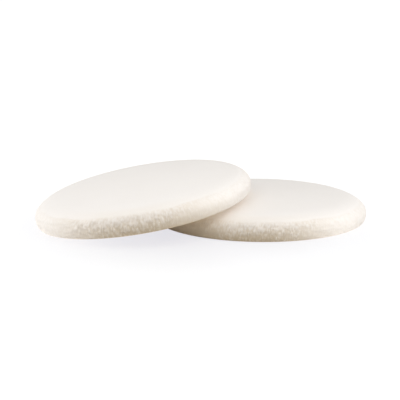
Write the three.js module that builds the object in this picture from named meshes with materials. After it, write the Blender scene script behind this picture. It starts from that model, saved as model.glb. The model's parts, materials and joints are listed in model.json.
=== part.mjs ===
// A pair of round makeup sponges. One lies flat, and the other leans on its rolled edge.
// Millimetres, +Z up. The middle of the flat sponge's underside is the origin.

import * as THREE from 'three';

// One sponge as it is cut from the sheet: the cutter draws the upper edge down into a wide roll.
const SPONGE_DIAMETER = 60;
const SPONGE_THICKNESS = 7.6;
const FACE_CROWN = 2; // fall of the top face from its middle to its rim
const SHOULDER_ROLL = 7; // width of the rolled upper edge
const SHOULDER_FULLNESS = 2.3; // power of the roll's curve: 2 is an ellipse, more is squarer
const WIDEST_HEIGHT = 2; // height of the sponge's widest line over its underside
const LOWER_EDGE_ROLL = 0.8; // width of the tight lower edge

// The layers: a velour facing on each side of the foam, each on a film of adhesive.
const FACING_THICKNESS = 0.6;
const BOND_THICKNESS = 0.2;
const LAYER_GAP = 0.2; // clearance between one layer and the next
const EDGE_GAP = 0.25; // clearance round a facing, in its seat in the foam
const TOP_BARE_EDGE = 3; // width of the foam left bare outside the top facing
const BOTTOM_BARE_EDGE = 0.7; // flat foam left bare between the bottom facing and the lower edge

// How the second sponge leans: its place is set here, and its angle follows from the sizes.
const LEAN_DISTANCE = 32.9; // between the middles of the two undersides, across the floor
const LEAN_HEADING = THREE.MathUtils.degToRad(13); // from +X towards +Y, the way its raised side points
const SEAT_GAP = 0.25; // clearance between its underside and the edge that carries it
const STEEPEST_LEAN = Math.PI / 3;
const LEAN_HALVINGS = 40;

// Facets.
const ROUND_STEPS = 56;
const FACE_STEPS = 4;
const SHOULDER_STEPS = 5;
const LOWER_EDGE_STEPS = 3;

const FOAM = { color: 0xf3eee2, roughness: 0.95, metalness: 0 };
const VELOUR = { color: 0xf7f4ea, roughness: 1, metalness: 0 };
const ADHESIVE = { color: 0xece6d4, roughness: 0.5, metalness: 0 };

const spongeRadius = SPONGE_DIAMETER / 2;
const seatDepth = FACING_THICKNESS + LAYER_GAP + BOND_THICKNESS + LAYER_GAP;
const topFacingRadius = spongeRadius - TOP_BARE_EDGE;
const flatRadius = spongeRadius - LOWER_EDGE_ROLL;
const bottomFacingRadius = flatRadius - BOTTOM_BARE_EDGE;

/** Height of the sponge's upper surface at a distance from its axis. */
function topHeight(r) {
  const rollStart = spongeRadius - SHOULDER_ROLL;
  const across = THREE.MathUtils.clamp((r - rollStart) / SHOULDER_ROLL, 0, 1);
  const rise = SPONGE_THICKNESS - WIDEST_HEIGHT - FACE_CROWN * (r / spongeRadius) ** 2;
  return WIDEST_HEIGHT + rise * (1 - across ** SHOULDER_FULLNESS) ** (1 / SHOULDER_FULLNESS);
}

/** Radii from one to another, closer together towards the last. */
function radiiBetween(first, last, steps) {
  const left = Array.from({ length: steps + 1 }, (_, i) => (1 - i / steps) ** 2);
  return left.map((share) => last - (last - first) * share);
}

/** The section of a round layer that fills the space between two surfaces, from the axis out. */
function layerSection(radii, lowerHeight, upperHeight) {
  const lower = radii.map((r) => new THREE.Vector2(r, lowerHeight(r)));
  const upper = radii.map((r) => new THREE.Vector2(r, upperHeight(r)));
  return [...lower, ...upper.reverse()];
}

const topRadii = radiiBetween(0, topFacingRadius, FACE_STEPS);
const bottomRadii = [0, bottomFacingRadius];

/** The section of a layer that lies a depth below the top face. */
function topLayerSection(depth, thickness) {
  return layerSection(topRadii, (r) => topHeight(r) - depth - thickness, (r) => topHeight(r) - depth);
}

/** The section of a layer that lies a depth above the underside. */
function bottomLayerSection(depth, thickness) {
  return layerSection(bottomRadii, () => depth, () => depth + thickness);
}

/** The foam's section: bare round the side, with a seat for the layers above and below it. */
function foamSection() {
  const topSeatRadius = topFacingRadius + EDGE_GAP;
  const bottomSeatRadius = bottomFacingRadius + EDGE_GAP;
  const bottomSeat = [
    new THREE.Vector2(0, seatDepth),
    new THREE.Vector2(bottomSeatRadius, seatDepth),
    new THREE.Vector2(bottomSeatRadius, 0),
  ];
  const lowerEdge = Array.from({ length: LOWER_EDGE_STEPS }, (_, i) => {
    const turn = (i / LOWER_EDGE_STEPS) * (Math.PI / 2);
    const r = flatRadius + LOWER_EDGE_ROLL * Math.sin(turn);
    return new THREE.Vector2(r, WIDEST_HEIGHT * (1 - Math.cos(turn)));
  });
  const shoulder = radiiBetween(topSeatRadius, spongeRadius, SHOULDER_STEPS)
    .map((r) => new THREE.Vector2(r, topHeight(r)))
    .reverse();
  const topSeat = [...topRadii, topSeatRadius]
    .map((r) => new THREE.Vector2(r, topHeight(r) - seatDepth))
    .reverse();
  return [...bottomSeat, ...lowerEdge, ...shoulder, ...topSeat];
}

/** One layer, turned about the sponge's axis. */
function layer(name, section, finish) {
  const geometry = new THREE.LatheGeometry(section, ROUND_STEPS).rotateX(Math.PI / 2);
  const mesh = new THREE.Mesh(geometry, new THREE.MeshStandardMaterial(finish));
  mesh.name = name;
  return mesh;
}

const bondDepth = FACING_THICKNESS + LAYER_GAP;
const sections = {
  foam: foamSection(),
  topFacing: topLayerSection(0, FACING_THICKNESS),
  topBond: topLayerSection(bondDepth, BOND_THICKNESS),
  bottomFacing: bottomLayerSection(0, FACING_THICKNESS),
  bottomBond: bottomLayerSection(bondDepth, BOND_THICKNESS),
};

/** A whole sponge, standing on its underside. */
function sponge(prefix) {
  const group = new THREE.Group();
  group.add(
    layer(`${prefix}_foam_core`, sections.foam, FOAM),
    layer(`${prefix}_top_facing`, sections.topFacing, VELOUR),
    layer(`${prefix}_top_bond`, sections.topBond, ADHESIVE),
    layer(`${prefix}_bottom_facing`, sections.bottomFacing, VELOUR),
    layer(`${prefix}_bottom_bond`, sections.bottomBond, ADHESIVE),
  );
  return group;
}

/** How far the sponge reaches along a direction, counted from the middle of its underside. */
function reach(outward, upward) {
  const outline = [...sections.foam, ...sections.topFacing];
  return Math.max(...outline.map((point) => point.x * outward + point.y * upward));
}

/** Height of the middle of a leaning sponge's underside, when its low side stands on the floor. */
function leanHeight(lean) {
  return reach(Math.sin(lean), -Math.cos(lean));
}

/** Clearance between the leaning sponge's underside and the flat sponge's rolled edge. */
function seatClearance(lean) {
  const underside = LEAN_DISTANCE * Math.sin(lean) + leanHeight(lean) * Math.cos(lean);
  return underside - reach(Math.sin(lean), Math.cos(lean));
}

/** The angle at which the leaning sponge lies on the floor and on the flat sponge's edge. */
function leanAngle() {
  let tooLow = 0;
  let highEnough = STEEPEST_LEAN;
  for (let i = 0; i < LEAN_HALVINGS; i += 1) {
    const middle = (tooLow + highEnough) / 2;
    if (seatClearance(middle) < SEAT_GAP) {
      tooLow = middle;
    } else {
      highEnough = middle;
    }
  }
  return highEnough;
}

const lean = leanAngle();
const leaningSponge = sponge('leaning');
leaningSponge.rotation.set(0, -lean, LEAN_HEADING, 'ZYX');
leaningSponge.position.set(
  -LEAN_DISTANCE * Math.cos(LEAN_HEADING),
  -LEAN_DISTANCE * Math.sin(LEAN_HEADING),
  leanHeight(lean),
);

const part = new THREE.Group();
part.add(sponge('lower'), leaningSponge);

export default part;
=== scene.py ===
"""Looks for a pair of round makeup sponges: foam with a streaked cut side, and velour on both faces.

Everything is in metres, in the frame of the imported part.
"""

import json
import math

import bpy
import numpy as np
from mathutils import Matrix, Vector


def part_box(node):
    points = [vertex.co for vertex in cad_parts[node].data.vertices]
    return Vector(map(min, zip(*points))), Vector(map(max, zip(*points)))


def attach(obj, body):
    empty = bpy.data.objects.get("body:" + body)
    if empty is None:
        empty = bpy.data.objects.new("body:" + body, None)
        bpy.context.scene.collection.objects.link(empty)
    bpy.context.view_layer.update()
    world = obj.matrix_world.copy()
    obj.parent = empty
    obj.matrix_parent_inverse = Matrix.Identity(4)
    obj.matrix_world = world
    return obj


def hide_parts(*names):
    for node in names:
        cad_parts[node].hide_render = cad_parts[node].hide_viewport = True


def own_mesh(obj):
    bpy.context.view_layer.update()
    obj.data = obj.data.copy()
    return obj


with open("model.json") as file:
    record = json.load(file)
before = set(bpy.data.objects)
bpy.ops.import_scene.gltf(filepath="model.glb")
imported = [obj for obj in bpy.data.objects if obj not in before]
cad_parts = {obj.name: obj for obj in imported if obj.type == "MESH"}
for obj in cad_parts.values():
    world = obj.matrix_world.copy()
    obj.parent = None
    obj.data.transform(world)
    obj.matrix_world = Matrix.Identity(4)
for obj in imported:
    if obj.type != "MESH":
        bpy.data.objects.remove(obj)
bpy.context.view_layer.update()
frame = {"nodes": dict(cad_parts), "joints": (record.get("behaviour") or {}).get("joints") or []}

MM = 0.001

# The section that every sponge is cut to. The frame gives the diameters and thicknesses.
FACE_CROWN = 2.0 * MM
SHOULDER_ROLL = 7.0 * MM
SHOULDER_FULLNESS = 2.3
WIDEST_HEIGHT = 2.0 * MM
LOWER_EDGE_ROLL = 0.8 * MM

# The nap that lies down over the foam's side in streaks, thinner and more broken towards the lower edge, so
# that the side is darker towards the bottom: partly the foam's beige showing through, and partly painted
# shade.
# Its cover is a share from 0, bare foam, to 1, full nap.
STREAK_WIDTH = 0.3 * MM
STREAK_LENGTH = 0.5 * MM
BROAD_STREAK_WIDTH = 0.6 * MM
BROAD_STREAK_LENGTH = 0.9 * MM
BROAD_STREAK_SHARE = 0.25
STREAK_LEAST_STRETCH = 0.6  # of its length, as each streak differs
STREAK_MOST_STRETCH = 1.5
STREAK_HEIGHT = 0.12 * MM
STREAK_LEVEL = 0.6  # the cover at which the relief neither rises nor sinks
STREAK_CONTRAST = 0.3  # where the nap is full
THIN_STREAK_CONTRAST = 1.5  # more of it where the nap is thin
NAP_FULL_HEIGHT = 6.2 * MM
NAP_THIN_HEIGHT = 0.6 * MM
NAP_THINNING_AND_SHADE = 0.76

# At the left and right ends, which the side lamps light, the nap is painted pale and nearly full as painted
# light, and its relief and fibres are flatter and fewer. The first four are places from the middle, 0, to
# an end, 1.
RIGHT_LIT_START = 0.0
RIGHT_LIT_FULL = 0.8
LEFT_LIT_START = 0.1
LEFT_LIT_FULL = 0.95
LIT_END_PAINTED_COVER = 0.92
LIT_END_PAINTED_CONTRAST = 0.35
LIT_END_FLATTENING = 0.6

# The top velour laps over the foam's shoulder, and its thin edge sinks into the nap there.
LAP_WAVE_LENGTH = 4.0 * MM
LAP_LEAST = 0.6 * MM
LAP_MOST = 1.2 * MM
LAP_THICKNESS = 0.06 * MM
LAP_CLEARANCE = 0.015 * MM
LAP_EDGE_FALL = 0.85  # share of its thickness that the lap's outer face falls by at its edge
LAP_SINK_LENGTH = 0.5 * MM
LAP_BLEND_LENGTH = 0.5 * MM
FOOT_BLEND_HEIGHT = 0.4 * MM  # below this the foam's relief dies out
SEAT_CLEARANCE = 0.05 * MM
FILM_CLEARANCE = 0.2 * MM  # under the top film, whose facets lie below the curve

# Painted shade: towards its edge, in front and behind where the side lamps don't reach, the velour takes a
# share of the foam's colour, and the nap on the side is lowered by the same share.
EDGE_SHADE_WIDTH = 2.8 * MM
PAINTED_SHADE_MOST = 0.22

# The nap's short fibres on the side, brushed down: close to it below the velour, and off it lower down.
FIBRE_COUNT = 30000
FIBRE_LEAST_WIDTH = 0.07 * MM
FIBRE_MOST_WIDTH = 0.12 * MM
FIBRE_LEAST_LENGTH = 0.35 * MM
FIBRE_MOST_LENGTH = 0.9 * MM
FIBRE_LEAST_LIFT = 0.008 * MM
FIBRE_MOST_LIFT = 0.07 * MM
FIBRE_ROOT_DEPTH = 0.04 * MM
FIBRE_FLATNESS = 0.25
FIBRE_SWAY = 0.14 * MM
FIBRE_FIRST_WAY = 0.4 * MM
FIBRE_LATER_WAY = 1.8 * MM
FIBRE_LIFT_WAY = 3.0 * MM
FIBRE_LOWEST = 0.22 * MM
FIBRE_TONE_SPREAD = 0.1
LIT_END_FIBRES_LEFT_OUT = 0.75  # share of the fibres, towards the lit left and right ends
LIT_END_FIBRES_LAID = 0.8  # share of their lift that they lose there

# Slow unevenness of a soft face.
FACE_WAVE = 0.03 * MM
FACE_WAVE_COUNT = 7
FACE_WAVE_LENGTH = 9.0 * MM
FACE_WAVE_REACH = 0.8  # share of the radius out to which the wave is full

# Steps of the meshes and of the section curve.
ROUND_STEPS = 1680
UPPER_CURVE_STEPS = 300
LOWER_CURVE_STEPS = 60
LOWER_SIDE_RINGS = 14
UPPER_SIDE_RINGS = 26
UNDER_LAP_RINGS = 3
SEAT_RINGS = 9
FACE_RINGS = 18
UNDER_FACE_RINGS = 5
LAP_RINGS = (0.0, 0.2, 0.4, 0.58, 0.74, 0.86, 0.95)  # as shares of the lap, closer towards its edge


def joint(name):
    """A joint of the frame."""
    return next(one for one in frame["joints"] if one["name"] == name)


sponge_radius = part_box("lower_foam_core")[1].x
sponge_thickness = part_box("lower_top_facing")[1].z
top_facing_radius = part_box("lower_top_facing")[1].x
bottom_facing_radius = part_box("lower_bottom_facing")[1].x
facing_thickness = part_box("lower_bottom_facing")[1].z
bond_depth = sponge_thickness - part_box("lower_top_bond")[1].z
bond_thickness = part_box("lower_bottom_bond")[1].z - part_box("lower_bottom_bond")[0].z
press_travel = joint("lower_press")["range_m"][1]


# Section curves

def smooth(first, last, value):
    """0 before first, 1 after last, and an S curve between them."""
    share = np.clip((value - first) / (last - first), 0.0, 1.0)
    return share * share * (3.0 - 2.0 * share)


def top_height(r):
    """Height of the upper surface at a distance from the axis."""
    across = np.clip((r - (sponge_radius - SHOULDER_ROLL)) / SHOULDER_ROLL, 0.0, 1.0)
    rise = sponge_thickness - WIDEST_HEIGHT - FACE_CROWN * (r / sponge_radius) ** 2
    return WIDEST_HEIGHT + rise * (1.0 - across**SHOULDER_FULLNESS) ** (1.0 / SHOULDER_FULLNESS)


def crowded(first, last, count):
    """Values from first to last, closer together towards the last."""
    left = (1.0 - np.linspace(0.0, 1.0, count)) ** 2
    return last - (last - first) * left


class Side:
    """The outer surface from the top facing's edge down to the floor, by the way along it."""

    def __init__(self):
        upper = crowded(top_facing_radius, sponge_radius, UPPER_CURVE_STEPS)
        quarter = np.linspace(math.pi / 2.0, 0.0, LOWER_CURVE_STEPS)[1:]
        lower = sponge_radius - LOWER_EDGE_ROLL * (1.0 - np.sin(quarter))
        self.radius = np.concatenate([upper, lower])
        self.height = np.concatenate([top_height(upper), WIDEST_HEIGHT * (1.0 - np.cos(quarter))])
        steps = np.hypot(np.diff(self.radius), np.diff(self.height))
        self.way = np.concatenate([[0.0], np.cumsum(steps)])
        along_r = np.gradient(self.radius, self.way)
        along_z = np.gradient(self.height, self.way)
        length = np.hypot(along_r, along_z)
        self.normal_r = -along_z / length
        self.normal_z = along_r / length

    def at(self, way, depth=0.0):
        """Radius and height at a way along the surface, and at a depth under it."""
        radius = np.interp(way, self.way, self.radius) - depth * np.interp(way, self.way, self.normal_r)
        height = np.interp(way, self.way, self.height) - depth * np.interp(way, self.way, self.normal_z)
        return radius, height


side = Side()
turn = np.arange(ROUND_STEPS)[None, :] / ROUND_STEPS


# Noise that closes on itself round the sponge

def streaks(around, way, width, length, seed):
    """Noise from 0 to 1 along the section, in columns that start and end at heights of their own."""
    columns = round(2.0 * math.pi * sponge_radius / width)
    chance = np.random.default_rng(seed)
    stretch = length * chance.uniform(STREAK_LEAST_STRETCH, STREAK_MOST_STRETCH, columns)
    phase = chance.random(columns)
    most_streaks = int(side.way[-1] / (STREAK_LEAST_STRETCH * length)) + 4
    grid = chance.random((columns, most_streaks))

    def column(index):
        y = way / stretch[index] + phase[index]
        j = np.floor(y).astype(int)
        rise = smooth(0.0, 1.0, y - j)
        return grid[index, j] * (1.0 - rise) + grid[index, j + 1] * rise

    x = around * columns
    i = np.floor(x).astype(int)
    across = smooth(0.0, 1.0, x - i)
    return column(i % columns) * (1.0 - across) + column((i + 1) % columns) * across


def waves(x, y, length, seed):
    """Slow smooth noise from -1 to 1 over a plane."""
    chance = np.random.default_rng(seed)
    total = np.zeros(np.broadcast(x, y).shape)
    for _ in range(FACE_WAVE_COUNT):
        heading = chance.uniform(0.0, math.pi)
        wave = length * chance.uniform(0.7, 1.8)
        start = chance.uniform(0.0, 2.0 * math.pi)
        total += np.sin((x * math.cos(heading) + y * math.sin(heading)) * 2.0 * math.pi / wave + start)
    return total / FACE_WAVE_COUNT


# Meshes

def ring_grid(radius, height):
    """Points of rings, from their radii and heights at each step round."""
    angle = 2.0 * math.pi * turn
    x, y, z = np.broadcast_arrays(radius * np.cos(angle), radius * np.sin(angle), height)
    return np.stack([x, y, z], -1)


def turned_mesh(name, rings, first_height, last_height, sharp_rings=()):
    """A closed mesh through rings of points, from a point on the axis to another one above it."""
    count, steps, _ = rings.shape
    points = np.concatenate([
        rings.reshape(-1, 3),
        [[0.0, 0.0, first_height], [0.0, 0.0, last_height]],
    ])
    first_pole = count * steps
    last_pole = first_pole + 1
    here = np.arange(steps)
    ahead = (here + 1) % steps
    walls = [
        np.stack([i * steps + here, i * steps + ahead, (i + 1) * steps + ahead, (i + 1) * steps + here], 1)
        for i in range(count - 1)
    ]
    under = np.stack([np.full(steps, first_pole), ahead, here], 1)
    last_ring = (count - 1) * steps
    over = np.stack([np.full(steps, last_pole), last_ring + here, last_ring + ahead], 1)
    faces = np.concatenate(walls).tolist() + under.tolist() + over.tolist()
    mesh = bpy.data.meshes.new(name)
    mesh.from_pydata(points.tolist(), [], faces)
    mesh.polygons.foreach_set("use_smooth", np.ones(len(faces), bool))
    ends = np.empty(2 * len(mesh.edges), int)
    mesh.edges.foreach_get("vertices", ends)
    ring_of = ends.reshape(-1, 2) // steps
    sharp = (ring_of[:, 0] == ring_of[:, 1]) & np.isin(ring_of[:, 0], sharp_rings)
    crease = mesh.attributes.new("sharp_edge", "BOOLEAN", "EDGE")
    crease.data.foreach_set("value", sharp)
    place = mesh.attributes.new("place", "FLOAT_VECTOR", "POINT")
    place.data.foreach_set("vector", points.astype(np.float32).ravel())
    mesh.update()
    return mesh


def toward_lit_ends(angle):
    """How far a heading lies towards the left and right ends, which the side lamps light: 0 in front and
    behind, and 1 at the left and right.
    """
    out = np.cos(angle)
    to_right = smooth(RIGHT_LIT_START, RIGHT_LIT_FULL, out)
    to_left = smooth(LEFT_LIT_START, LEFT_LIT_FULL, -out)
    return np.where(out > 0.0, to_right, to_left)


def nap_on_side(around, way, seed, heading):
    """The nap's cover at places on a sponge's side, and the depth of the foam under its surface there."""
    fine = streaks(around, way, STREAK_WIDTH, STREAK_LENGTH, seed)
    broad = streaks(around, way, BROAD_STREAK_WIDTH, BROAD_STREAK_LENGTH, seed + 1)
    uneven = (1.0 - BROAD_STREAK_SHARE) * fine + BROAD_STREAK_SHARE * broad - 0.5
    thinness = 1.0 - smooth(NAP_THIN_HEIGHT, NAP_FULL_HEIGHT, side.at(way)[1])
    contrast = STREAK_CONTRAST + THIN_STREAK_CONTRAST * thinness
    # The cover falls towards the lower edge, partly as the nap thins and partly as painted shade, and it is
    # lowered by the share of painted shade that the velour's edge takes.
    nap = np.clip(1.0 - PAINTED_SHADE_MOST - NAP_THINNING_AND_SHADE * thinness + contrast * uneven, 0.0, 1.0)
    lit_end = toward_lit_ends(2.0 * math.pi * around + heading)
    depth = STREAK_HEIGHT * (STREAK_LEVEL - nap) * (1.0 - LIT_END_FLATTENING * lit_end)
    # Towards the lit ends the cover is raised nearly to full: painted light.
    return np.maximum(nap, lit_end * (LIT_END_PAINTED_COVER + LIT_END_PAINTED_CONTRAST * uneven)), depth


def store(mesh, name, values):
    """Keeps one number for each point of a mesh, for its material."""
    attribute = mesh.attributes.new(name, "FLOAT", "POINT")
    attribute.data.foreach_set("value", np.asarray(values, np.float32))


def lap_way(seed):
    """How far down the shoulder the velour reaches, at each step round."""
    level = np.zeros((1, 1))
    return LAP_LEAST + (LAP_MOST - LAP_LEAST) * streaks(turn, level, LAP_WAVE_LENGTH, STREAK_LENGTH, seed)


def press_keep():
    """The share of its thickness that the foam keeps when its top facing is pressed right down."""
    return 1.0 - press_travel / float(side.height[0])


def foam_mesh(name, seed, lap, heading):
    """The foam core: nap lies over its side, and it has a seat above and below for the facings."""
    seat_radius = top_facing_radius + SEAT_CLEARANCE
    lower_seat_radius = bottom_facing_radius + SEAT_CLEARANCE

    first_way = np.interp(seat_radius, side.radius[:UPPER_CURVE_STEPS], side.way[:UPPER_CURVE_STEPS])
    widest_way = side.way[UPPER_CURVE_STEPS - 1]
    sink_way = LAP_LEAST - LAP_SINK_LENGTH
    way = np.concatenate([
        np.linspace(side.way[-1], widest_way, LOWER_SIDE_RINGS),
        np.linspace(widest_way, sink_way, UPPER_SIDE_RINGS)[1:],
        np.linspace(sink_way, first_way, UNDER_LAP_RINGS)[1:],
    ])[:, None]
    side_z = side.at(way)[1]

    nap, relief = nap_on_side(turn, way, seed, heading)
    past_lap = smooth(0.0, LAP_BLEND_LENGTH, way - lap)
    on_side = smooth(0.0, FOOT_BLEND_HEIGHT, side_z)
    under_lap = LAP_THICKNESS + LAP_CLEARANCE
    sunk = 0.5 * LAP_THICKNESS - under_lap
    depth = under_lap + sunk * smooth(-LAP_SINK_LENGTH, 0.0, way - lap)
    depth = (depth + relief * past_lap) * on_side
    # Painted shade in front and behind, as on the top velour's edge; under the lap the foam takes the
    # velour's shaded colour.
    painted_shade = PAINTED_SHADE_MOST * (1.0 - toward_lit_ends(2.0 * math.pi * turn + heading))
    nap = nap * past_lap + (1.0 - painted_shade) * (1.0 - past_lap)
    flank = ring_grid(*side.at(way, depth))
    foot = ring_grid(np.array([[lower_seat_radius]]), 0.0)

    keep = press_keep()
    floor_r = crowded(0.0, seat_radius, SEAT_RINGS)[::-1]
    film_z = top_height(floor_r) - bond_depth - bond_thickness
    floor_z = np.minimum(film_z, (film_z - press_travel) / keep) - FILM_CLEARANCE
    top_seat = ring_grid(floor_r[:-1, None], floor_z[:-1, None])
    ceiling = (bond_depth + bond_thickness) / keep + SEAT_CLEARANCE
    bottom_seat = ring_grid(np.array([[0.5 * lower_seat_radius], [lower_seat_radius]]), ceiling)

    mesh = turned_mesh(name, np.concatenate([bottom_seat, foot, flank, top_seat]), ceiling, floor_z[-1])
    bare_under = np.zeros((len(bottom_seat) + len(foot), ROUND_STEPS))
    bare_over = np.zeros((len(top_seat), ROUND_STEPS))
    store(mesh, "nap", np.append(np.concatenate([bare_under, nap, bare_over]).ravel(), [0.0, 0.0]))
    return mesh


def top_facing_mesh(name, seed, lap, heading):
    """The velour on top: it sits in the foam's seat, and its edge laps over the foam's side."""
    seat_r = crowded(0.0, top_facing_radius, UNDER_FACE_RINGS)[1:]
    under = ring_grid(seat_r[:, None], top_height(seat_r)[:, None] - facing_thickness)
    share = np.array(LAP_RINGS)[:, None]
    lap_under = ring_grid(*side.at(lap * share, LAP_THICKNESS))
    tip = ring_grid(*side.at(lap, LAP_THICKNESS))
    back = share[::-1]
    lap_over = ring_grid(*side.at(lap * back, LAP_EDGE_FALL * LAP_THICKNESS * back**3))
    face_r = crowded(0.0, top_facing_radius, FACE_RINGS)[1:-1][::-1][:, None] * np.ones_like(turn)
    angle = 2.0 * math.pi * turn
    fade = 1.0 - smooth(FACE_WAVE_REACH * top_facing_radius, top_facing_radius, face_r)
    drift = waves(face_r * np.cos(angle), face_r * np.sin(angle), FACE_WAVE_LENGTH, seed)
    face = ring_grid(face_r, top_height(face_r) + FACE_WAVE * fade * (drift - 1.0))
    rings = np.concatenate([under, lap_under, tip, lap_over, face])
    edge = len(under) + len(lap_under)
    mesh = turned_mesh(name, rings, sponge_thickness - facing_thickness, face[-1, :, 2].mean(), [edge])
    # Painted shade towards the edge of the face, in front and behind.
    most = PAINTED_SHADE_MOST * (1.0 - toward_lit_ends(2.0 * math.pi * turn + heading))
    on_face = smooth(top_facing_radius - EDGE_SHADE_WIDTH, top_facing_radius, face_r)
    past_face = np.ones((len(rings) - len(face), 1))
    painted_shade = most * np.concatenate([past_face * np.ones_like(turn), on_face])
    store(mesh, "painted_shade", np.append(painted_shade.ravel(), [0.0, 0.0]))
    return mesh


def fibre_mesh(name, seed, nap_seed, heading):
    """The nap's fibres on the side: each is a thin spike with three sides, laid down along the foam."""
    chance = np.random.default_rng(seed)
    last_way = float(np.interp(-FIBRE_LOWEST, -side.height, side.way))
    length = chance.uniform(FIBRE_LEAST_LENGTH, FIBRE_MOST_LENGTH, FIBRE_COUNT)
    around = chance.random(4 * FIBRE_COUNT)
    sparse = toward_lit_ends(2.0 * math.pi * around + heading)
    around = around[chance.random(len(around)) > LIT_END_FIBRES_LEFT_OUT * sparse][:FIBRE_COUNT]
    lit_end = toward_lit_ends(2.0 * math.pi * around + heading)
    first_way = FIBRE_FIRST_WAY + FIBRE_LATER_WAY * lit_end
    lowest_root = last_way - 0.7 * FIBRE_LEAST_LENGTH
    root_way = first_way + (lowest_root - first_way) * chance.random(FIBRE_COUNT) ** 0.5
    nap, depth = nap_on_side(around, root_way, nap_seed, heading)
    below_lap = smooth(first_way, first_way + FIBRE_LIFT_WAY, root_way)
    depth = depth * below_lap
    raised = below_lap * (1.0 - LIT_END_FIBRES_LAID * lit_end) * chance.random(FIBRE_COUNT)
    lift = FIBRE_LEAST_LIFT + (FIBRE_MOST_LIFT - FIBRE_LEAST_LIFT) * raised
    width = chance.uniform(FIBRE_LEAST_WIDTH, FIBRE_MOST_WIDTH, FIBRE_COUNT)
    sway = chance.normal(0.0, FIBRE_SWAY, FIBRE_COUNT)

    def turned(radius, angle, level):
        return np.stack([radius * np.cos(angle), radius * np.sin(angle), level], -1)

    def corner(way, rise, across):
        """One corner of every fibre, at a rise over the foam."""
        radius, level = side.at(np.minimum(way, last_way), depth - rise)
        return turned(radius, 2.0 * math.pi * around + across / sponge_radius, level)

    points = np.stack([
        corner(root_way, -FIBRE_ROOT_DEPTH, -0.5 * width),
        corner(root_way, -FIBRE_ROOT_DEPTH, 0.5 * width),
        corner(root_way, FIBRE_FLATNESS * width - FIBRE_ROOT_DEPTH, 0.0),
        corner(root_way + length, lift, sway),
    ], 1)
    each = points.shape[1]
    faces = np.array([(0, 2, 1), (0, 1, 3), (1, 2, 3), (2, 0, 3)])
    corners = (faces[None] + each * np.arange(FIBRE_COUNT)[:, None, None]).reshape(-1, 3)
    mesh = bpy.data.meshes.new(name)
    mesh.from_pydata(points.reshape(-1, 3).tolist(), [], corners.tolist())
    mesh.polygons.foreach_set("use_smooth", np.ones(len(corners), bool))
    normal_r = np.interp(root_way, side.way, side.normal_r)
    normal_z = np.interp(root_way, side.way, side.normal_z)
    outward = turned(normal_r, 2.0 * math.pi * around, normal_z)
    mesh.normals_split_custom_set_from_vertices(np.repeat(outward, each, 0).tolist())
    # Their tone follows the nap's cover: painted shade towards the lower edge, and painted light at the lit
    # ends.
    shade = nap + chance.uniform(-FIBRE_TONE_SPREAD, FIBRE_TONE_SPREAD, FIBRE_COUNT)
    store(mesh, "shade", np.repeat(np.clip(shade, 0.0, 1.0), each))
    mesh.update()
    return mesh


def bottom_facing_mesh(name):
    """The velour underneath: a flat disc with a softly rounded lower edge."""
    edge_roll = 0.35 * facing_thickness
    turn_down = np.linspace(0.0, math.pi / 2.0, 5)[1:]
    flat_r = np.linspace(0.0, bottom_facing_radius - edge_roll, 4)[1:]
    roll_r = bottom_facing_radius - edge_roll * (1.0 - np.sin(turn_down))
    roll_z = edge_roll * (1.0 - np.cos(turn_down))
    upper_r = np.linspace(0.0, bottom_facing_radius, 3)[1:][::-1]
    radius = np.concatenate([flat_r, roll_r, upper_r])
    height = np.concatenate([np.zeros(len(flat_r)), roll_z, np.full(len(upper_r), facing_thickness)])
    return turned_mesh(name, ring_grid(radius[:, None], height[:, None]), 0.0, facing_thickness)


# Materials

class Value:
    """A shader socket in Python expressions: arithmetic on it adds Math nodes."""

    def __init__(self, finish, socket):
        self.finish = finish
        self.socket = socket

    def math(self, operation, first, second):
        return self.finish.node("ShaderNodeMath", {"operation": operation}, {0: first, 1: second})

    def __add__(self, other):
        return self.math("ADD", self, other)

    __radd__ = __add__

    def __sub__(self, other):
        return self.math("SUBTRACT", self, other)

    def __rsub__(self, other):
        return self.math("SUBTRACT", other, self)

    def __mul__(self, other):
        return self.math("MULTIPLY", self, other)

    __rmul__ = __mul__


class Finish:
    """A tree of shader nodes, and the one way that its nodes are made."""

    def __init__(self, tree):
        self.tree = tree
        self.tree.nodes.clear()

    def node(self, kind, settings=None, sockets=None, output=0):
        """Adds a node with its settings first and then its sockets, and gives one of its outputs."""
        made = self.tree.nodes.new(kind)
        for name, value in (settings or {}).items():
            setattr(made, name, value)
        for key, value in (sockets or {}).items():
            if isinstance(value, Value):
                self.tree.links.new(value.socket, made.inputs[key])
            else:
                made.inputs[key].default_value = value
        return Value(self, made.outputs[output]) if made.outputs else None

    def mix(self, factor, first, second):
        """One colour into another."""
        return self.node("ShaderNodeMix", {"data_type": "RGBA"}, {0: factor, 6: first, 7: second}, 2)


def material(name):
    """A new material and its tree."""
    made = bpy.data.materials.new(name)
    made.use_nodes = True
    return made, Finish(made.node_tree)


def colour(red, green, blue):
    """A colour as it is written on a screen, from 0 to 255, as the linear colour of a shader."""
    def linear(level):
        share = level / 255.0
        return share / 12.92 if share <= 0.04045 else ((share + 0.055) / 1.055) ** 2.4
    return linear(red), linear(green), linear(blue), 1.0


NAP_LIGHT = colour(250, 246, 242)
NAP_DEEP = colour(244, 239, 233)
FIBRE_LIGHT = colour(249, 244, 239)
FIBRE_DEEP = colour(222, 210, 193)
FOAM_LIGHT = colour(231, 220, 204)
FOAM_DEEP = colour(218, 204, 184)


def nap_colour(finish, place):
    """Cream nap with a faint grain and a slow drift, and the grain itself."""
    grain = finish.node("ShaderNodeTexNoise", None, {"Vector": place, "Scale": 2600.0, "Detail": 3.0})
    drift = finish.node("ShaderNodeTexNoise", None, {"Vector": place, "Scale": 110.0, "Detail": 2.0})
    return finish.mix(0.6 * grain + 0.4 * drift, NAP_DEEP, NAP_LIGHT), grain


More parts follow.
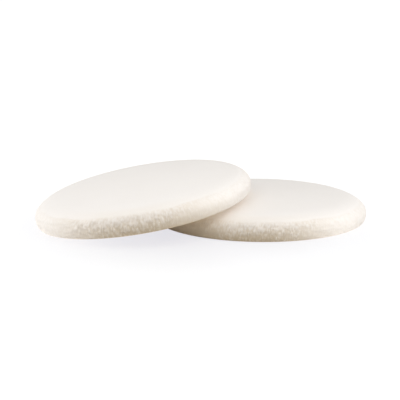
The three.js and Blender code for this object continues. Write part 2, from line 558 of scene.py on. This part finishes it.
def velour_material():
    """Short cream nap: nearly white and matte, and deeper towards its edge in front and behind, where shade
    is painted.
    """
    made, finish = material("velour")
    place = finish.node("ShaderNodeAttribute", {"attribute_name": "place"}, output="Vector")
    cream, grain = nap_colour(finish, place)
    # The painted shade towards the edge.
    painted_shade = finish.node("ShaderNodeAttribute", {"attribute_name": "painted_shade"}, output="Fac")
    bump = finish.node("ShaderNodeBump", None, {"Height": grain, "Strength": 0.35, "Distance": 0.00008})
    skin = finish.node("ShaderNodeBsdfPrincipled", None, {
        "Base Color": finish.mix(painted_shade, cream, FOAM_LIGHT),
        "Roughness": 1.0,
        "Specular IOR Level": 0.15,
        "Sheen Weight": 0.1,
        "Sheen Roughness": 0.6,
        "Normal": bump,
    })
    finish.node("ShaderNodeOutputMaterial", None, {"Surface": skin})
    return made


def foam_material():
    """Beige open-cell foam, with cream nap over it where the nap lies; the nap's share also carries painted
    shade towards the lower edge and painted light at the left and right ends.
    """
    made, finish = material("foam")
    place = finish.node("ShaderNodeAttribute", {"attribute_name": "place"}, output="Vector")
    nap = finish.node("ShaderNodeAttribute", {"attribute_name": "nap"}, output="Fac")
    cream, _ = nap_colour(finish, place)
    pores = finish.node("ShaderNodeTexNoise", None, {"Vector": place, "Scale": 3200.0, "Detail": 3.0})
    beige = finish.mix(pores, FOAM_DEEP, FOAM_LIGHT)
    bump = finish.node("ShaderNodeBump", None, {"Height": pores, "Strength": 0.4, "Distance": 0.0001})
    skin = finish.node("ShaderNodeBsdfPrincipled", None, {
        "Base Color": finish.mix(nap, beige, cream),
        "Roughness": 1.0,
        "Specular IOR Level": 0.15,
        "Normal": bump,
    })
    finish.node("ShaderNodeOutputMaterial", None, {"Surface": skin})
    return made


def fibre_material():
    """Single fibres of the nap, deeper in colour towards the lower edge, partly as painted shade, paler at
    the left and right ends as painted light, and some more than others.
    """
    made, finish = material("nap fibre")
    shade = finish.node("ShaderNodeAttribute", {"attribute_name": "shade"}, output="Fac")
    skin = finish.node("ShaderNodeBsdfPrincipled", None, {
        "Base Color": finish.mix(shade, FIBRE_DEEP, FIBRE_LIGHT),
        "Roughness": 1.0,
        "Specular IOR Level": 0.15,
    })
    finish.node("ShaderNodeOutputMaterial", None, {"Surface": skin})
    return made


def adhesive_material():
    """A thin web of glue between the layers."""
    made, finish = material("adhesive")
    place = finish.node("ShaderNodeTexCoord", output="Object")
    web = finish.node("ShaderNodeTexVoronoi", None, {"Vector": place, "Scale": 900.0})
    shade = finish.mix(web, colour(240, 234, 215), colour(226, 217, 192))
    skin = finish.node("ShaderNodeBsdfPrincipled", None, {"Base Color": shade, "Roughness": 0.5})
    finish.node("ShaderNodeOutputMaterial", None, {"Surface": skin})
    return made


# Where each sponge lies

def placement(prefix):
    """The sponge's own frame: the middle of its underside, with Z out of its top face."""
    up = -Vector(joint(f"{prefix}_press")["axis"]).normalized()
    level = Vector((-up.x, -up.y, 0.0))
    forward = level.normalized() if level.length > 1e-6 else Vector((1.0, 0.0, 0.0))
    across = up.cross(forward).normalized()
    forward = across.cross(up)
    axes = Matrix((forward, across, up)).transposed()
    node = frame["nodes"][f"{prefix}_bottom_facing"]
    world = [node.matrix_world @ vertex.co for vertex in node.data.vertices]
    local = np.array(world) @ np.array(axes)
    middle = (local.min(0) + local.max(0)) / 2.0
    middle[2] = local[:, 2].min()
    return Matrix.Translation(axes @ Vector(middle)) @ axes.to_4x4()


def add_piece(name, mesh, finish, place, body, node):
    """Puts a piece where its sponge lies, on a body, and instead of a CAD node where it has one."""
    mesh.transform(place)
    mesh.update()
    piece = bpy.data.objects.new(name, mesh)
    bpy.context.scene.collection.objects.link(piece)
    mesh.materials.append(finish)
    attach(piece, body)
    if node:
        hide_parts(node)
    return piece


def dress_sponge(prefix, seed):
    """The foam, both facings and the nap of one sponge, and a finish for its films."""
    place = placement(prefix)
    forward = place.to_3x3().col[0]
    heading = math.atan2(forward.y, forward.x)
    lap = lap_way(seed + 30)
    foam = add_piece(
        f"{prefix}_foam", foam_mesh(f"{prefix}_foam", seed, lap, heading), foam_finish, place,
        f"{prefix}_sponge", f"{prefix}_foam_core")
    press_keep()
    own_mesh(foam)
    top = add_piece(
        f"{prefix}_top_velour", top_facing_mesh(f"{prefix}_top_velour", seed + 20, lap, heading),
        velour_finish, place, f"{prefix}_top", f"{prefix}_top_facing")
    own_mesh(top)
    nap = add_piece(
        f"{prefix}_nap", fibre_mesh(f"{prefix}_nap", seed + 40, seed, heading), fibre_finish, place,
        f"{prefix}_top", None)
    press_keep()
    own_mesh(nap)
    bottom = add_piece(
        f"{prefix}_bottom_velour", bottom_facing_mesh(f"{prefix}_bottom_velour"), velour_finish, place,
        f"{prefix}_sponge", f"{prefix}_bottom_facing")
    for bond in (f"{prefix}_top_bond", f"{prefix}_bottom_bond"):
        node = frame["nodes"][bond]
        node.data.materials.clear()
        node.data.materials.append(adhesive_finish)


foam_finish = foam_material()
velour_finish = velour_material()
fibre_finish = fibre_material()
adhesive_finish = adhesive_material()
dress_sponge("lower", 1)
dress_sponge("leaning", 101)


# Studio

CAMERA_AIM = Vector((-16.70, 0.0, 4.82)) * MM
CAMERA_DISTANCE = 320.0 * MM
CAMERA_ELEVATION = math.radians(12.12)
LENS = 101.95
SENSOR = 36.0

FLOOR_HALF = 3.0
FLOOR_LEVEL = -0.02 * MM
WHITE = (1.0, 1.0, 1.0, 1.0)
BLACK = (0.0, 0.0, 0.0, 1.0)

# What is seen of the floor: white, with a faint cool painted shade about a place in front of the sponges.
PAINTED_FLOOR_SHADE = (0.78, 0.78, 0.84, 1.0)
SHADE_FORWARD = 20.0 * MM
SHADE_ACROSS = 0.7  # below 1, the shade is drawn out to the left and right
SHADE_NEAR = 5.0 * MM
SHADE_FAR = 92.0 * MM
SHADOW_COLOUR = (0.16, 0.16, 0.13, 1.0)
GLOSS_SHARE = 0.35

# What the floor gives the sponges: a little warm light thrown back below them, and beside them a bright
# cool glow, painted light on their ends from below.
BELOW_COLOUR = (0.62, 0.53, 0.37, 1.0)
BESIDE_GLOW = (0.45, 0.51, 0.62, 1.0)
BESIDE_NEAR = 14.0 * MM
BESIDE_FAR = 40.0 * MM

EVEN_LIGHT = 0.525


def add_camera():
    """A long lens a little above the table, in front of the sponges."""
    data = bpy.data.cameras.new("camera")
    data.lens = LENS
    data.sensor_width = SENSOR
    data.clip_start = 0.01
    data.clip_end = 20.0
    camera = bpy.data.objects.new("camera", data)
    bpy.context.scene.collection.objects.link(camera)
    back = Vector((0.0, -math.cos(CAMERA_ELEVATION), math.sin(CAMERA_ELEVATION)))
    camera.location = CAMERA_AIM + CAMERA_DISTANCE * back
    camera.rotation_euler = (-back).to_track_quat("-Z", "Y").to_euler()
    bpy.context.scene.camera = camera


def add_softbox(name, place, width, height, watts):
    """A soft lamp at a place, facing the sponges."""
    data = bpy.data.lights.new(name, "AREA")
    data.shape = "RECTANGLE"
    data.size = width
    data.size_y = height
    data.energy = watts
    lamp = bpy.data.objects.new(name, data)
    bpy.context.scene.collection.objects.link(lamp)
    lamp.location = place
    lamp.rotation_euler = (CAMERA_AIM - Vector(place)).to_track_quat("-Z", "Y").to_euler()
    lamp.visible_camera = False


def seen_directly(finish):
    """1 for rays that show the surface itself: straight to the camera, or by a mirror or glass."""
    rays = [
        finish.node("ShaderNodeLightPath", output=name)
        for name in ("Is Camera Ray", "Is Glossy Ray", "Is Transmission Ray")
    ]
    return rays[0] + rays[1] + rays[2]


def add_floor():
    """A white table that keeps the lamps' faint shadow, and a cool painted shade in front of the sponges.
    """
    mesh = bpy.data.meshes.new("floor")
    half = FLOOR_HALF
    corners = [(-half, -half), (half, -half), (half, half), (-half, half)]
    mesh.from_pydata([(x, y, FLOOR_LEVEL) for x, y in corners], [], [(0, 1, 2, 3)])
    floor = bpy.data.objects.new("floor", mesh)
    bpy.context.scene.collection.objects.link(floor)
    made, finish = material("floor")
    place = finish.node("ShaderNodeNewGeometry", output="Position")
    from_shade = finish.node("ShaderNodeVectorMath", {"operation": "MULTIPLY_ADD"}, {
        0: place, 1: (SHADE_ACROSS, 1.0, 0.0), 2: (-SHADE_ACROSS * CAMERA_AIM.x, SHADE_FORWARD, 0.0)})
    reach = finish.node("ShaderNodeVectorMath", {"operation": "LENGTH"}, {0: from_shade}, "Value")
    far = finish.node("ShaderNodeMapRange", None, {
        "Value": reach, "From Min": SHADE_NEAR, "From Max": SHADE_FAR})
    lit = finish.node("ShaderNodeBsdfDiffuse", None, {"Color": SHADOW_COLOUR})
    # Darker and cooler towards a place in front of the sponges: painted shade.
    glow = finish.node("ShaderNodeEmission", None, {"Color": finish.mix(far, PAINTED_FLOOR_SHADE, WHITE)})
    matte = finish.node("ShaderNodeAddShader", None, {0: lit, 1: glow})
    gloss = finish.node("ShaderNodeBsdfGlossy", None, {"Color": WHITE, "Roughness": 0.3})
    fresnel = finish.node("ShaderNodeFresnel", None, {"IOR": 1.35})
    white = finish.node("ShaderNodeMixShader", None, {0: GLOSS_SHARE * fresnel, 1: matte, 2: gloss})
    across = finish.node("ShaderNodeSeparateXYZ", None, {0: place}, "X")
    out = finish.node("ShaderNodeMath", {"operation": "ABSOLUTE"}, {0: across - CAMERA_AIM.x})
    beside = finish.node("ShaderNodeMapRange", {"interpolation_type": "SMOOTHSTEP"}, {
        "Value": out, "From Min": BESIDE_NEAR, "From Max": BESIDE_FAR})
    below = finish.node("ShaderNodeBsdfDiffuse", None, {"Color": BELOW_COLOUR})
    # Beside the sponges the floor glows, unseen by the camera: painted light.
    bright = finish.node("ShaderNodeEmission", None, {"Color": finish.mix(beside, BLACK, BESIDE_GLOW)})
    dull = finish.node("ShaderNodeAddShader", None, {0: below, 1: bright})
    seen = finish.node("ShaderNodeMixShader", None, {0: seen_directly(finish), 1: dull, 2: white})
    finish.node("ShaderNodeOutputMaterial", None, {"Surface": seen})
    mesh.materials.append(made)


def add_backdrop():
    """White behind everything, and a low even light from all round."""
    world = bpy.data.worlds.new("backdrop")
    world.use_nodes = True
    bpy.context.scene.world = world
    finish = Finish(world.node_tree)
    even = finish.node("ShaderNodeBackground", None, {"Color": WHITE, "Strength": EVEN_LIGHT})
    white = finish.node("ShaderNodeBackground", None, {"Color": WHITE, "Strength": 1.0})
    seen = finish.node("ShaderNodeMixShader", None, {0: seen_directly(finish), 1: even, 2: white})
    finish.node("ShaderNodeOutputWorld", None, {"Surface": seen})


add_camera()
add_floor()
add_backdrop()
add_softbox("key", (0.28, -0.10, 0.34), width=0.30, height=0.30, watts=0.60)
add_softbox("top", (-0.016, -0.10, 0.10), width=0.20, height=0.10, watts=0.046)
add_softbox("left panel", (-0.27, 0.0, 0.04), width=0.25, height=0.07, watts=0.24)
add_softbox("right panel", (0.19, -0.16, 0.06), width=0.25, height=0.11, watts=0.09)

bpy.context.scene.view_settings.view_transform = "Standard"
# Pale foam passes light on many times before it is lost.
bpy.context.scene.cycles.diffuse_bounces = 12
